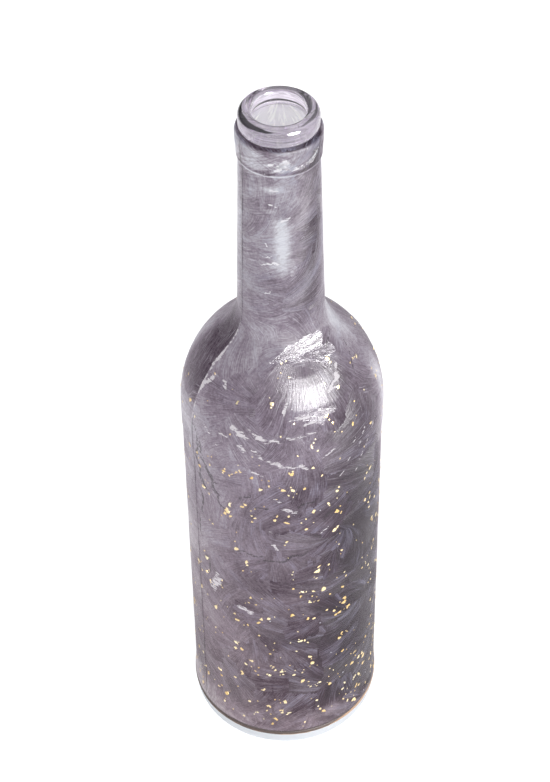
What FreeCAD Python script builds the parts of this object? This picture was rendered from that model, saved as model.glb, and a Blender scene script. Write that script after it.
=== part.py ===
"""Decorated wine bottle: one piece of blown glass, a frosted lacquer skin that covers it from the heel to
the groove under the lip, a gilt line round the foot of the skin, and flakes of gold leaf laid on the skin.
Millimetres, +Z up, the bottle stands on z = 0 with its axis on the Z axis. The front faces -Y."""

import FreeCAD
import Part
import math
import os

from FreeCAD import Vector

# Body of the glass: height to the top of the lip, and radius of the straight label panel
HEIGHT = 300.0
PANEL_RADIUS = 37.1

# Foot: a heel that stands proud of the panel, and a base pushed up in a spherical punt
HEEL_STAND = 0.5
HEEL_ROUNDING = 6.0
HEEL_WALL = 7.5
HEEL_STEP = 2.0
HEEL_STEP_ROUNDING = 6.0
FOOT_RING_WIDTH = 2.4
PUNT_DEPTH = 14.0
PUNT_EDGE_ROUNDING = 2.0

# Shoulder: a contact ring above the panel, one large arc, and a hollow blend into the neck
SHOULDER_START = 169.0
SHOULDER_RADIUS = 44.7
SHOULDER_RING_WIDTH = 10.0
SHOULDER_RING_STAND = 0.25
SHOULDER_RING_STEP = 3.0
SHOULDER_RING_ROUNDING = 30.0
NECK_BLEND = 20.3

# Neck and finish: a tapered neck, a bulged collar, a groove and a rounded lip
NECK_TOP_RADIUS = 13.6
NECK_TAPER_DEGREES = 1.5
COLLAR_HEIGHT = 10.2
COLLAR_STAND = 1.0
COLLAR_FOOT_STAND = 0.6
COLLAR_FOOT_ROUNDING = 0.4
COLLAR_BULGE_HEIGHT = 7.0
COLLAR_BULGE_ROUNDING = 5.0
COLLAR_ROUNDING = 1.4
GROOVE_WIDTH = 1.6
GROOVE_DEPTH = 0.65
GROOVE_ROUNDING = 0.4
LIP_HEIGHT = 5.8
LIP_RADIUS = 13.75
LIP_UNDER_ROUNDING = 0.35
LIP_OUTER_ROUNDING = 2.8
LIP_INNER_ROUNDING = 1.5

# Inside of the glass
BORE_RADIUS = 9.25
BORE_LENGTH = 43.0
NECK_INSIDE_TAPER_DEGREES = 4.4
WALL = 2.3
BASE_THICKNESS = 4.5
PUNT_WALL = 3.6
INNER_HEEL_ROUNDING = 3.4

# Gilt line round the heel, which closes the lower edge of the skin
GILT_LIFT = 2.7
GILT_HEIGHT = 1.8
GILT_STAND = 0.45
GILT_ROUNDING = 0.2

# Lacquer skin, with the two mould seams of the glass showing through it as fine ridges
SKIN = 0.3
SEAM_COUNT = 2
SEAM_ANGLE_DEGREES = 209.0
SEAM_WIDTH = 0.7
SEAM_STAND = 0.2
SEAM_STOP = 4.0

# Flakes of gold leaf: a scatter over the panel and the shoulder that thickens towards the foot
FLAKE_COUNT = 180
FLAKE_LIFT = 3.5
FLAKE_CLIMB = 18.0
FLAKE_CROWDING = 1.3
FLAKE_SMALLEST = 0.45
FLAKE_LARGEST = 1.35
FLAKE_SMALLNESS = 2.2
FLAKE_SIDES = 7
FLAKE_RAGGEDNESS = 0.4
FLAKE_THICKNESS = 0.06
FLAKE_GAP = 0.03
FLAKE_SEAM_GAP = 0.3

AXIS_POINT = Vector(0, 0, 0)
AXIS = Vector(0, 0, 1)
TINY = 1e-6


def at(radius, height):
    """A point of a half section."""
    return Vector(radius, 0, height)


def straight(start, end):
    """The straight edge between two points, or nothing where they meet."""
    if (end - start).Length < TINY:
        return []
    return [Part.LineSegment(start, end).toShape()]


def reaches(points, roundings):
    """How far each corner's arc reaches along its runs, kept within the length of those runs."""
    reach = [0.0] * len(points)
    for i in range(1, len(points) - 1):
        back = points[i - 1] - points[i]
        ahead = points[i + 1] - points[i]
        if roundings[i] > 0:
            reach[i] = roundings[i] / math.tan(back.getAngle(ahead) / 2)
    for i in range(1, len(points)):
        run = (points[i] - points[i - 1]).Length
        wanted = reach[i - 1] + reach[i]
        if wanted > run + TINY:
            reach[i - 1] *= run / wanted
            reach[i] *= run / wanted
    return reach


def rounded(corners):
    """Edges of a half section through corners, each (radius, height, rounding). A rounding is a tangent
    arc, and it shrinks where its two runs are too short for it."""
    points = [at(radius, height) for radius, height, rounding in corners]
    reach = reaches(points, [rounding for radius, height, rounding in corners])
    edges = []
    start = points[0]
    for i in range(1, len(points) - 1):
        if reach[i] < TINY:
            edges += straight(start, points[i])
            start = points[i]
            continue
        back = (points[i - 1] - points[i]).normalize()
        ahead = (points[i + 1] - points[i]).normalize()
        half_corner = back.getAngle(ahead) / 2
        arc_radius = reach[i] * math.tan(half_corner)
        to_centre = (back + ahead).normalize()
        leave = points[i] + back * reach[i]
        middle = points[i] + to_centre * (arc_radius / math.sin(half_corner) - arc_radius)
        join = points[i] + ahead * reach[i]
        edges += straight(start, leave)
        edges.append(Part.Arc(leave, middle, join).toShape())
        start = join
    return edges + straight(start, points[-1])


def shoulder_corners(wall_radius, arc, blend, neck_radius, neck_height, taper):
    """The two corners of the shoulder: where its slope would meet the body wall and the neck, with the
    body arc and the hollow neck blend touching each other on that slope."""
    body_centre = wall_radius - arc
    lean = math.tan(taper)
    neck_offset = neck_radius + lean * neck_height + blend / math.cos(taper) - body_centre
    a = 1 + lean * lean
    b = neck_offset * lean + SHOULDER_START
    c = neck_offset ** 2 + SHOULDER_START ** 2 - (arc + blend) ** 2
    blend_height = (b + math.sqrt(b * b - a * c)) / a
    blend_radius = body_centre + neck_offset - lean * blend_height
    slope = math.atan2(blend_height - SHOULDER_START, blend_radius - body_centre)
    touch_radius = body_centre + arc * math.cos(slope)
    touch_height = SHOULDER_START + arc * math.sin(slope)
    fall = (wall_radius - touch_radius) / math.tan(slope)
    neck_here = neck_radius + lean * (neck_height - touch_height)
    climb = (touch_radius - neck_here) / (math.tan(slope) - lean)
    body_corner = (wall_radius, touch_height - fall, arc)
    neck_corner = (touch_radius - climb * math.tan(slope), touch_height + climb, blend)
    return body_corner, neck_corner


def heel_radius():
    return PANEL_RADIUS + HEEL_STAND


def gilt_low():
    return HEEL_ROUNDING + GILT_LIFT


def skin_low():
    return gilt_low() + GILT_HEIGHT


def lip_bottom():
    return HEIGHT - LIP_HEIGHT


def collar_top():
    return lip_bottom() - GROOVE_WIDTH


def collar_bottom():
    return collar_top() - COLLAR_HEIGHT


def groove_middle():
    return (LIP_RADIUS - GROOVE_DEPTH, (collar_top() + lip_bottom()) / 2, 0)


def seam_top():
    lean = math.tan(math.radians(NECK_TAPER_DEGREES))
    return (NECK_TOP_RADIUS + SEAM_STOP * lean, collar_bottom() - SEAM_STOP, 0)


def foot_edge():
    """Radius where the flat ring that the bottle stands on turns up into the punt."""
    return heel_radius() - HEEL_ROUNDING - FOOT_RING_WIDTH


def punt_radius():
    """Radius of the punt's sphere, which meets the rounding of the foot ring's inner edge."""
    wide = foot_edge() ** 2 + PUNT_DEPTH ** 2 - 2 * PUNT_EDGE_ROUNDING * PUNT_DEPTH
    return wide / (2 * PUNT_DEPTH)


def punt_centre():
    return PUNT_DEPTH - punt_radius()


def dome(sphere, edge_angle):
    """A dome's half section on the punt's centre, from the axis out to an angle off the axis."""
    places = []
    for angle in (0, edge_angle / 2, edge_angle):
        places.append(at(sphere * math.sin(angle), punt_centre() + sphere * math.cos(angle)))
    return Part.Arc(places[0], places[1], places[2]).toShape()


def foot_outline():
    """From the top of the punt, over the foot ring and the heel, to the lower edge of the skin."""
    edge_centre = at(foot_edge(), PUNT_EDGE_ROUNDING)
    toward = (edge_centre - at(0, punt_centre())).normalize()
    leave = edge_centre - toward * PUNT_EDGE_ROUNDING
    middle = edge_centre - (toward + AXIS).normalize() * PUNT_EDGE_ROUNDING
    punt = dome(punt_radius(), math.atan2(toward.x, toward.z))
    turn = Part.Arc(leave, middle, at(foot_edge(), 0)).toShape()
    heel = rounded([
        (foot_edge(), 0, 0),
        (heel_radius(), 0, HEEL_ROUNDING),
        (heel_radius(), skin_low(), 0),
    ])
    return [punt, turn] + heel


def body_outline():
    """From the lower edge of the skin, up the panel and the shoulder, to the top of the neck."""
    heel_top = HEEL_ROUNDING + HEEL_WALL
    ring_radius = PANEL_RADIUS + SHOULDER_RING_STAND
    ring_bottom = SHOULDER_START - SHOULDER_RING_WIDTH
    body_corner, neck_corner = shoulder_corners(
        ring_radius, SHOULDER_RADIUS, NECK_BLEND,
        NECK_TOP_RADIUS, collar_bottom(), math.radians(NECK_TAPER_DEGREES))
    return rounded([
        (heel_radius(), skin_low(), 0),
        (heel_radius(), heel_top, HEEL_STEP_ROUNDING),
        (PANEL_RADIUS, heel_top + HEEL_STEP, HEEL_STEP_ROUNDING),
        (PANEL_RADIUS, ring_bottom - SHOULDER_RING_STEP, SHOULDER_RING_ROUNDING),
        (ring_radius, ring_bottom, SHOULDER_RING_ROUNDING),
        body_corner,
        neck_corner,
        seam_top(),
    ])


def collar_outline():
    """From the top of the neck, over the collar, to the middle of the groove."""
    groove = groove_middle()
    collar_radius = NECK_TOP_RADIUS + COLLAR_STAND
    return rounded([
        seam_top(),
        (NECK_TOP_RADIUS, collar_bottom(), COLLAR_FOOT_ROUNDING),
        (NECK_TOP_RADIUS + COLLAR_FOOT_STAND, collar_bottom(), COLLAR_FOOT_ROUNDING),
        (collar_radius, collar_bottom() + COLLAR_BULGE_HEIGHT, COLLAR_BULGE_ROUNDING),
        (collar_radius, collar_top(), COLLAR_ROUNDING),
        (groove[0], collar_top(), GROOVE_ROUNDING),
        groove,
    ])


def lip_outline():
    """From the middle of the groove, over the lip, to the lower end of the cork bore."""
    groove = groove_middle()
    return rounded([
        groove,
        (groove[0], lip_bottom(), GROOVE_ROUNDING),
        (LIP_RADIUS, lip_bottom(), LIP_UNDER_ROUNDING),
        (LIP_RADIUS, HEIGHT, LIP_OUTER_ROUNDING),
        (BORE_RADIUS, HEIGHT, LIP_INNER_ROUNDING),
        (BORE_RADIUS, HEIGHT - BORE_LENGTH, 0),
    ])


def inner_outline():
    """From the end of the cork bore, down the inside of the glass, to the top of the raised floor."""
    inside = PANEL_RADIUS - WALL
    bore_end = HEIGHT - BORE_LENGTH
    body_corner, neck_corner = shoulder_corners(
        inside, SHOULDER_RADIUS - WALL, NECK_BLEND + WALL,
        BORE_RADIUS, bore_end, math.radians(NECK_INSIDE_TAPER_DEGREES))
    sphere = punt_radius() + PUNT_WALL
    floor_angle = math.acos((BASE_THICKNESS - punt_centre()) / sphere)
    walls = rounded([
        (BORE_RADIUS, bore_end, 0),
        neck_corner,
        body_corner,
        (inside, BASE_THICKNESS, INNER_HEEL_ROUNDING),
        (sphere * math.sin(floor_angle), BASE_THICKNESS, 0),
    ])
    return walls + [dome(sphere, floor_angle)]


def face_of(edges):
    """The flat face inside a closed run of edges."""
    return Part.Face(Part.Wire(Part.sortEdges(edges)[0]))


def turned(edges):
    """The solid that a closed half section sweeps about the bottle's axis."""
    return face_of(edges).revolve(AXIS_POINT, AXIS, 360)


def glass_bottle():
    """The vessel: foot, body, shoulder, neck and finish blown as one piece of glass."""
    axis_edge = straight(at(0, PUNT_DEPTH + PUNT_WALL), at(0, PUNT_DEPTH))
    outside = foot_outline() + body_outline() + collar_outline() + lip_outline()
    return turned(outside + inner_outline() + axis_edge)


def strip(outline, near, far):
    """The closed half section between an outline moved out by near and the same moved out by far."""
    wire = Part.Wire(outline)
    sides = [wire.makeOffset2D(-stand, 0, False, True) if stand else wire for stand in (near, far)]
    ends = [[side.OrderedVertexes[0].Point, side.OrderedVertexes[-1].Point] for side in sides]
    for pair in ends:
        pair.sort(key=lambda point: point.z)
    caps = straight(ends[0][0], ends[1][0]) + straight(ends[0][1], ends[1][1])
    return sides[0].Edges + sides[1].Edges + caps


def seam_ridge(angle):
    """One mould seam: a thin fin in a plane through the axis, rooted in the skin and a little proud."""
    fin = face_of(strip(body_outline(), SKIN / 2, SKIN + SEAM_STAND))
    fin.translate(Vector(0, -SEAM_WIDTH / 2, 0))
    ridge = fin.extrude(Vector(0, SEAM_WIDTH, 0))
    ridge.rotate(AXIS_POINT, AXIS, angle)
    return ridge


def seam_angles():
    return [SEAM_ANGLE_DEGREES + 360 * i / SEAM_COUNT for i in range(SEAM_COUNT)]


def lacquer_skin():
    """The lacquer skin, face to face with the glass, with the mould seams raised on it."""
    skin = turned(strip(body_outline() + collar_outline(), 0, SKIN))
    return skin.fuse([seam_ridge(angle) for angle in seam_angles()])


def gilt_line():
    """The gilt line: a flat bead on the heel, under the lower edge of the skin."""
    inner = heel_radius()
    outer = inner + GILT_STAND
    edges = rounded([
        (inner, gilt_low(), 0),
        (outer, gilt_low(), GILT_ROUNDING),
        (outer, skin_low(), GILT_ROUNDING),
        (inner, skin_low(), 0),
    ])
    return turned(edges + straight(at(inner, skin_low()), at(inner, gilt_low())))


def fraction(value):
    return value - math.floor(value)


def seat_on(outline, height):
    """Where an outline is at a height, and the way it faces there."""
    level = Part.LineSegment(at(0, height), at(HEIGHT, height)).toShape()
    for edge in outline:
        distance, pairs, contacts = edge.distToShape(level)
        if distance < TINY:
            spot = pairs[0][0]
            along = edge.tangentAt(edge.Curve.parameter(spot))
            facing = Vector(along.z, 0, -along.x)
            return spot, facing if facing.x > 0 else facing * -1
    raise ValueError("the flakes reach past the skin at height %.2f" % height)


def off_seams(angle, reach):
    """The angle itself, or the nearest one that keeps a flake's reach off the mould seams."""
    for seam in seam_angles():
        past = (angle - seam + 180) % 360 - 180
        if abs(past) < reach:
            return seam + math.copysign(reach, past)
    return angle


def flake(outline, number):
    """One ragged flake, flat on the skin where the scatter puts it."""
    low = skin_low() + FLAKE_LIFT
    high = SHOULDER_START + FLAKE_CLIMB
    share = fraction((number + 0.5) * (math.sqrt(5.0) - 1) / 2)
    size = FLAKE_SMALLEST
    size += (FLAKE_LARGEST - FLAKE_SMALLEST) * fraction(number * math.sqrt(3.0)) ** FLAKE_SMALLNESS
    spot, facing = seat_on(outline, low + (high - low) * share ** FLAKE_CROWDING)
    across = Vector(0, 1, 0)
    upward = facing.cross(across)
    seat = spot + facing * (SKIN + FLAKE_GAP)
    corners = []
    for side in range(FLAKE_SIDES):
        ragged = 1 - FLAKE_RAGGEDNESS * fraction((number * FLAKE_SIDES + side) * math.sqrt(7.0))
        turn = 2 * math.pi * side / FLAKE_SIDES
        corner = across * math.cos(turn) + upward * math.sin(turn)
        corners.append(seat + corner * (size * ragged))
    plate = Part.Face(Part.makePolygon(corners + corners[:1])).extrude(facing * FLAKE_THICKNESS)
    reach = math.degrees((size + SEAM_WIDTH / 2 + FLAKE_SEAM_GAP) / spot.x)
    plate.rotate(AXIS_POINT, AXIS, off_seams(360 * fraction(number * math.sqrt(2.0)), reach))
    return plate


def gold_flakes():
    """All the flakes, as one group of separate solids."""
    outline = body_outline()
    return Part.makeCompound([flake(outline, number) for number in range(FLAKE_COUNT)])


def main():
    os.makedirs("parts", exist_ok=True)
    pieces = {
        "glass_bottle": glass_bottle(),
        "frosted_lacquer_skin": lacquer_skin(),
        "gilt_foot_line": gilt_line(),
        "gold_leaf_flakes": gold_flakes(),
    }
    for name, shape in pieces.items():
        print(name, shape.isValid(), len(shape.Solids), round(shape.Volume, 2))
        shape.exportStep("parts/%s.step" % name)


main()
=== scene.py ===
import math

import bmesh
import bpy
import numpy as np
from mathutils import Matrix, Vector


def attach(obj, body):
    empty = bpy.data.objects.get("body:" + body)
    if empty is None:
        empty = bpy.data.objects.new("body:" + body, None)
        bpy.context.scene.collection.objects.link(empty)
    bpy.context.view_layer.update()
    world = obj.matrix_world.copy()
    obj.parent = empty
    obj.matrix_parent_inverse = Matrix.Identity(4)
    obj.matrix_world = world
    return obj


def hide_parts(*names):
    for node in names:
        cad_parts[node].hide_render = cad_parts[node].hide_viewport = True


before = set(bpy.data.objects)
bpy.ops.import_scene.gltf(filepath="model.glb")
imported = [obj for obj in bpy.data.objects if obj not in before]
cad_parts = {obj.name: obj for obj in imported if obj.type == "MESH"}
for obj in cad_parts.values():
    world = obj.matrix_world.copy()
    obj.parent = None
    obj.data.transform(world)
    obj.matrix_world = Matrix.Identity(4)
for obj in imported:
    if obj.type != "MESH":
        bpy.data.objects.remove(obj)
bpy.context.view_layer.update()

# The glass bottle: one piece of blown clear glass with a rounded lip, a groove, a bulged collar, a long neck,
# a round shoulder, a label panel set back between two contact rings, a bare heel and a pushed-up base.
# Everything below is laid on this glass, and it stands on its own foot ring.
MM = 0.001
# Sizes and heights of the pieces are in millimetres. A turn is counted from the front, rightwards.
HEIGHT = 300.0
PANEL_RADIUS = 37.1
HEEL_RADIUS = 37.6
HEEL_ROUNDING = 6.0
HEEL_TOP = 13.5
HEEL_STEP = 2.0
HEEL_EASE = 6.0
FOOT_RING_EDGE = 29.2
PUNT_DEPTH = 14.0
PUNT_WALL = 3.6
PUNT_EDGE_ROUNDING = 2.0
SHOULDER_RING_RADIUS = 37.35
SHOULDER_RING_BOTTOM = 159.0
SHOULDER_RING_STEP = 3.0
SHOULDER_RING_EASE = 30.0
SHOULDER_START = 169.0
SHOULDER_ARC = 44.7
NECK_BLEND = 20.3
NECK_TOP_RADIUS = 13.6
NECK_TAPER = math.radians(1.5)
COLLAR_BOTTOM = 282.4
COLLAR_TOP = 292.6
COLLAR_STEP = 0.6
COLLAR_BULGE = 1.0
COLLAR_BULGE_RISE = 7.0
COLLAR_EASE = 5.0
LIP_BOTTOM = 294.2
LIP_RADIUS = 13.75
LIP_ROUNDING = 2.8
MOUTH_ROUNDING = 1.5
GROOVE_RADIUS = 13.1
BORE_RADIUS = 9.25
BORE_END = 257.0
NECK_INSIDE_TAPER = math.radians(4.4)
WALL = 2.3
BASE_THICKNESS = 4.5
BASE_ROUNDING = 3.4
GLASS_AROUND = 192
ARC_STEP = math.radians(5)
DOME_POINTS = 14


def shoulder_corners(wall, arc, blend, neck_radius, neck_height, taper):
    """Where the shoulder's slope would meet the body wall and the neck, with its two arcs touching."""
    centre = wall - arc
    lean = math.tan(taper)
    offset = neck_radius + lean * neck_height + blend / math.cos(taper) - centre
    a = 1 + lean * lean
    b = offset * lean + SHOULDER_START
    c = offset ** 2 + SHOULDER_START ** 2 - (arc + blend) ** 2
    blend_height = (b + math.sqrt(b * b - a * c)) / a
    slope = math.atan2(blend_height - SHOULDER_START, offset - lean * blend_height)
    touch_radius = centre + arc * math.cos(slope)
    touch_height = SHOULDER_START + arc * math.sin(slope)
    fall = (wall - touch_radius) / math.tan(slope)
    climb = touch_radius - neck_radius - lean * (neck_height - touch_height)
    climb /= math.tan(slope) - lean
    body_corner = (wall, touch_height - fall, arc)
    neck_corner = (touch_radius - climb * math.tan(slope), touch_height + climb, blend)
    return [body_corner, neck_corner]


def outline(corners):
    """Points in millimetres along (radius, height, rounding) corners, with an arc at each rounding."""
    spots = [Vector((radius, height)) for radius, height, rounding in corners]
    points = [spots[0]]
    for i in range(1, len(spots) - 1):
        back = (spots[i - 1] - spots[i]).normalized()
        ahead = (spots[i + 1] - spots[i]).normalized()
        half = back.angle(ahead) / 2
        rounding = corners[i][2]
        if rounding == 0:
            points.append(spots[i])
            continue
        centre = spots[i] + (back + ahead).normalized() * (rounding / math.sin(half))
        start = spots[i] + back * (rounding / math.tan(half)) - centre
        end = spots[i] + ahead * (rounding / math.tan(half)) - centre
        sweep = start.angle_signed(end)
        steps = max(3, math.ceil(abs(sweep) / ARC_STEP))
        for k in range(steps + 1):
            turn = Matrix.Rotation(-sweep * k / steps, 2)
            points.append(centre + turn @ start)
    points.append(spots[-1])
    return np.array([tuple(point) for point in points])


def dome_points(sphere, centre, edge_angle):
    """Half section of a dome on the axis, from its top out to an angle."""
    angles = np.linspace(0, edge_angle, DOME_POINTS)
    return np.stack([sphere * np.sin(angles), centre + sphere * np.cos(angles)], axis=1)


def glass_section():
    """The closed half section of the glass, from the top of the punt, outside, and back down the inside."""
    punt = FOOT_RING_EDGE ** 2 + PUNT_DEPTH ** 2 - 2 * PUNT_EDGE_ROUNDING * PUNT_DEPTH
    punt /= 2 * PUNT_DEPTH
    punt_centre = PUNT_DEPTH - punt
    punt_edge = math.atan2(FOOT_RING_EDGE, PUNT_EDGE_ROUNDING - punt_centre)
    floor_sphere = punt + PUNT_WALL
    floor_edge = math.acos((BASE_THICKNESS - punt_centre) / floor_sphere)
    underside = dome_points(punt, punt_centre, punt_edge)
    outside = outline([
        (FOOT_RING_EDGE, 0, 0),
        (HEEL_RADIUS, 0, HEEL_ROUNDING),
        (HEEL_RADIUS, HEEL_TOP, HEEL_EASE),
        (PANEL_RADIUS, HEEL_TOP + HEEL_STEP, HEEL_EASE),
        (PANEL_RADIUS, SHOULDER_RING_BOTTOM - SHOULDER_RING_STEP, SHOULDER_RING_EASE),
        (SHOULDER_RING_RADIUS, SHOULDER_RING_BOTTOM, SHOULDER_RING_EASE),
        *shoulder_corners(SHOULDER_RING_RADIUS, SHOULDER_ARC, NECK_BLEND,
                          NECK_TOP_RADIUS, COLLAR_BOTTOM, NECK_TAPER),
        (NECK_TOP_RADIUS, COLLAR_BOTTOM, 0.3),
        (NECK_TOP_RADIUS + COLLAR_STEP, COLLAR_BOTTOM, 0.25),
        (NECK_TOP_RADIUS + COLLAR_BULGE, COLLAR_BOTTOM + COLLAR_BULGE_RISE, COLLAR_EASE),
        (NECK_TOP_RADIUS + COLLAR_BULGE, COLLAR_TOP, 1.1),
        (GROOVE_RADIUS, COLLAR_TOP, 0.35),
        (GROOVE_RADIUS, LIP_BOTTOM, 0.25),
        (LIP_RADIUS, LIP_BOTTOM, 0.3),
        (LIP_RADIUS, HEIGHT, LIP_ROUNDING),
        (BORE_RADIUS, HEIGHT, MOUTH_ROUNDING),
        (BORE_RADIUS, BORE_END, 0),
    ])
    inside = PANEL_RADIUS - WALL
    inner_shoulder = shoulder_corners(inside, SHOULDER_ARC - WALL, NECK_BLEND + WALL,
                                      BORE_RADIUS, BORE_END, NECK_INSIDE_TAPER)
    walls = outline([
        (BORE_RADIUS, BORE_END, 0),
        *inner_shoulder[::-1],
        (inside, BASE_THICKNESS, BASE_ROUNDING),
        (floor_sphere * math.sin(floor_edge), BASE_THICKNESS, 0),
    ])
    floor = dome_points(floor_sphere, punt_centre, floor_edge)[::-1]
    return np.concatenate([underside, outside[1:], walls[1:], floor[1:]])


def rings(section, turns):
    """Points in metres where a half section passes each turn, counted from the front rightwards."""
    around = np.stack([np.sin(turns), -np.cos(turns)], axis=1)
    grid = np.empty((len(section), len(turns), 3))
    grid[:, :, :2] = section[:, None, :1] * around[None]
    grid[:, :, 2] = section[:, 1:]
    return grid * MM


def skin_over(name, grid, closed):
    """A mesh object over a grid of rings. Where closed, the last ring joins the first."""
    count, around = grid.shape[:2]
    ring = np.arange(count if closed else count - 1)[:, None]
    step = np.arange(around)[None]
    low, high = ring * around, (ring + 1) % count * around
    after = (step + 1) % around
    quads = np.stack([low + step, low + after, high + after, high + step], axis=2).reshape(-1, 4)
    mesh = bpy.data.meshes.new(name)
    mesh.from_pydata(grid.reshape(-1, 3).tolist(), [], quads.tolist())
    mesh.shade_smooth()
    piece = bpy.data.objects.new(name, mesh)
    bpy.context.scene.collection.objects.link(piece)
    return piece


def material(piece, name):
    """A node material on a piece: its node tree and its Principled shader."""
    made = bpy.data.materials.new(name)
    made.use_nodes = True
    piece.data.materials.append(made)
    return made.node_tree, made.node_tree.nodes["Principled BSDF"]


def put(tree, kind, sockets=None, **settings):
    """A shader node with its settings. sockets maps an input's name or number to a value or an output."""
    made = tree.nodes.new("ShaderNode" + kind)
    for name, value in settings.items():
        setattr(made, name, value)
    for key, value in (sockets or {}).items():
        if isinstance(value, bpy.types.NodeSocket):
            tree.links.new(value, made.inputs[key])
        else:
            made.inputs[key].default_value = value
    return made


def sums(tree, operation, *values):
    """The output of a Math node."""
    return put(tree, "Math", dict(enumerate(values)), operation=operation).outputs[0]


def spread(tree, value, low, high, to_low=0.0, to_high=1.0):
    """A value stretched from one range onto another, and kept inside it."""
    sockets = {"Value": value, "From Min": low, "From Max": high, "To Min": to_low, "To Max": to_high}
    return put(tree, "MapRange", sockets).outputs[0]


def grain(tree, vector, scale, detail=2.0, roughness=0.5):
    """The strength of a noise texture."""
    sockets = {"Vector": vector, "Scale": scale, "Detail": detail, "Roughness": roughness}
    return put(tree, "TexNoise", sockets).outputs[0]


def blend(tree, share, first, second, mode="MIX"):
    """A mix of two colours."""
    made = put(tree, "Mix", {0: share, 6: first, 7: second}, data_type="RGBA", blend_type=mode)
    return made.outputs[2]


glass_turns = np.linspace(0, 2 * math.pi, GLASS_AROUND, False)
glass = skin_over("glass_bottle_clear", rings(glass_section(), glass_turns), False)
shaped = bmesh.new()
shaped.from_mesh(glass.data)
bmesh.ops.remove_doubles(shaped, verts=shaped.verts, dist=1e-7)
bmesh.ops.recalc_face_normals(shaped, faces=shaped.faces)
shaped.to_mesh(glass.data)
shaped.free()

# The glass is faintly purple, smoky in the thick lip and clear in the bore. Dark arcs are painted into the
# lip in place of the dark coat seen bent through it, and the heel is painted pale and frosted in place of the
# lit white table seen through the clear glass.
GLASS_DEEP = (0.89, 0.81, 0.93, 1)
GLASS_PALE = (0.96, 0.92, 0.98, 1)
BORE_CLEAR = (0.98, 0.975, 0.99, 1)
LIP_TINT = (0.77, 0.73, 0.80, 1)
LIP_SMOKE = (0.38, 0.31, 0.42, 1)
LIP_REFRACTION_DARK = (0.006, 0.005, 0.007, 1)
HEEL_PAINTED_PALE = (0.79, 0.82, 0.87, 1)
PALE_HEEL_TOP = 9.0
PALE_HEEL_FADE = 0.6
LIP_TINT_LOW = 293.5
LIP_TINT_FULL = 294.0
LIP_REFRACTION_EDGE = 0.07
BORE_CLEAR_TO = 0.15
BORE_CLEAR_END = 0.35
# Painted dark arcs in the lip, standing in for the dark coat seen bent through the thick glass: turn, half
# length round it, angle over its rounding and half width in degrees, and how dark each is.
LIP_PAINTED_REFRACTIONS = [
    (-64, 56, 47, 27, 1.0), (70, 38, 58, 15, 0.9), (100, 46, 106, 20, 0.95), (0, 80, 100, 9, 0.8),
    (180, 85, 88, 22, 0.75), (-20, 60, 14, 6, 0.5), (-95, 34, -25, 14, 0.8), (95, 30, -25, 10, 0.6),
    (35, 50, 5, 4, 0.45), (-58, 40, -8, 5, 0.45), (15, 70, -24, 7, 0.45), (32, 40, 32, 4, 0.5),
    (-10, 50, 66, 5, 0.4), (180, 100, -154, 12, 0.99),
]
tree, shader = material(glass, "clear_bottle_glass")
place = put(tree, "TexCoord").outputs["Object"]
rightward, backward, upward = put(tree, "SeparateXYZ", {0: place}).outputs
ripple = grain(tree, place, 90.0)
bump = put(tree, "Bump", {"Height": ripple, "Strength": 0.12, "Distance": 0.0006})
# The heel is painted pale, frosted and made less clear, in place of the lit white table seen through the
# clear glass.
pale_heel = spread(tree, upward, (PALE_HEEL_TOP - PALE_HEEL_FADE) * MM, PALE_HEEL_TOP * MM, 1.0, 0.0)
haze = spread(tree, grain(tree, place, 45.0, 4.0), 0.45, 0.75, 0.0, 0.05)
haze = sums(tree, "MULTIPLY_ADD", pale_heel, 0.5, haze)
across = put(tree, "CombineXYZ", {0: rightward, 1: backward}).outputs[0]
radius = put(tree, "VectorMath", {0: across}, operation="LENGTH").outputs["Value"]
turn_here = sums(tree, "ARCTAN2", rightward, sums(tree, "MULTIPLY", backward, -1.0))
climb = sums(tree, "ARCTAN2", sums(tree, "SUBTRACT", upward, (HEIGHT - LIP_ROUNDING) * MM),
             sums(tree, "SUBTRACT", radius, (LIP_RADIUS - LIP_ROUNDING) * MM))
climb = sums(tree, "MULTIPLY_ADD", sums(tree, "SUBTRACT", ripple, 0.5), 0.5, climb)
on_lip = spread(tree, upward, LIP_TINT_LOW * MM, LIP_TINT_FULL * MM)
round_lip = put(tree, "CombineXYZ", {0: turn_here, 1: sums(tree, "MULTIPLY", climb, 5.0)}).outputs[0]
smoke = spread(tree, grain(tree, round_lip, 1.6, 4.0, 0.6), 0.42, 0.56)
smoke = sums(tree, "MULTIPLY", smoke, on_lip)
# Painted dark arcs in the lip, in place of the dark coat seen bent through the glass.
shade = 0.0
for turn, half, rise, width, strength in LIP_PAINTED_REFRACTIONS:
    off = sums(tree, "COSINE", sums(tree, "SUBTRACT", turn_here, math.radians(turn)))
    off = sums(tree, "ARCCOSINE", off)
    taper = sums(tree, "POWER", spread(tree, off, 0.0, math.radians(half), 1.0, 0.0), 0.5)
    aside = sums(tree, "ABSOLUTE", sums(tree, "SUBTRACT", climb, math.radians(rise)))
    within = sums(tree, "SUBTRACT", sums(tree, "MULTIPLY", taper, math.radians(width)), aside)
    shade = sums(tree, "MAXIMUM", shade, spread(tree, within, 0.0, LIP_REFRACTION_EDGE, 0.0, strength))
shade = sums(tree, "MULTIPLY", shade, on_lip)
past_bore = spread(tree, radius, (BORE_RADIUS + BORE_CLEAR_TO) * MM, (BORE_RADIUS + BORE_CLEAR_END) * MM)
tint = blend(tree, ripple, GLASS_DEEP, GLASS_PALE)
tint = blend(tree, on_lip, tint, LIP_TINT, "MULTIPLY")
tint = blend(tree, smoke, tint, LIP_SMOKE)
tint = blend(tree, past_bore, BORE_CLEAR, tint)
tint = blend(tree, shade, tint, LIP_REFRACTION_DARK)
tint = blend(tree, pale_heel, tint, HEEL_PAINTED_PALE)
tree.links.new(tint, shader.inputs["Base Color"])
tree.links.new(spread(tree, pale_heel, 0.0, 1.0, 1.0, 0.2), shader.inputs["Transmission Weight"])
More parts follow.
